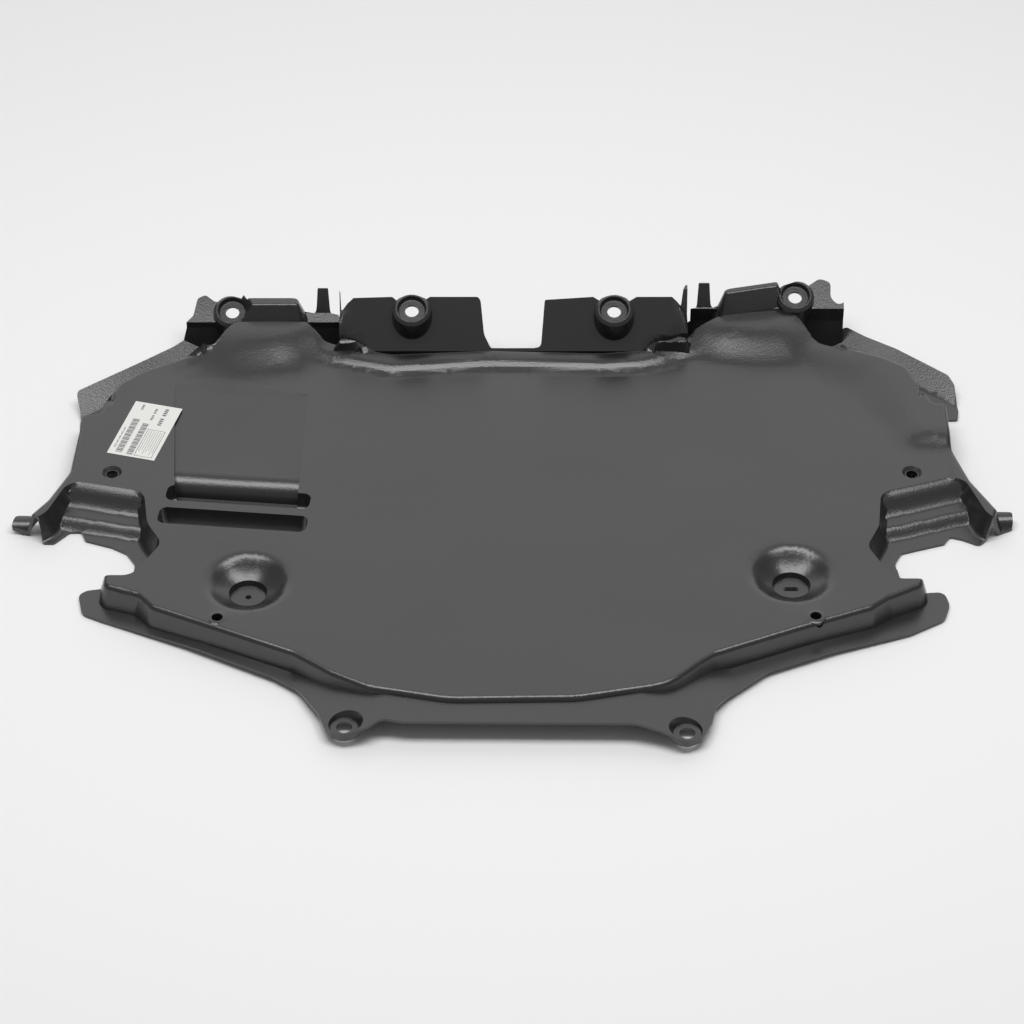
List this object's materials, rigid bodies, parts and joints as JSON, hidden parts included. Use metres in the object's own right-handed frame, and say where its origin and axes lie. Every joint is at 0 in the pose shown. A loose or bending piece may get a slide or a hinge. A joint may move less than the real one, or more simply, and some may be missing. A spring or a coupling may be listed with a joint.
{
  "type": "engine splash shield",
  "caption": "Thin formed plastic undertray with a raised far rim, an upright far flange with lugs, stepped wings, side channels, mounting funnels and an air slot.",
  "frame": {"origin": "centre of the bounding box in plan, at the lowest point of the sheet", "axes": "+X to the right seen from the near edge, +Y towards the far flange (the front of the car), +Z out of the road side"},
  "size_m": [1.0056, 0.6625, 0.083],
  "materials": {
    "shield_plastic": "fine pebble grain, satin, black",
    "label_paper": "matt white paper-like film"
  },
  "bodies": {
    "root": {"splash_shield": "shield_plastic", "label": "label_paper"}
  },
  "joints": []
}
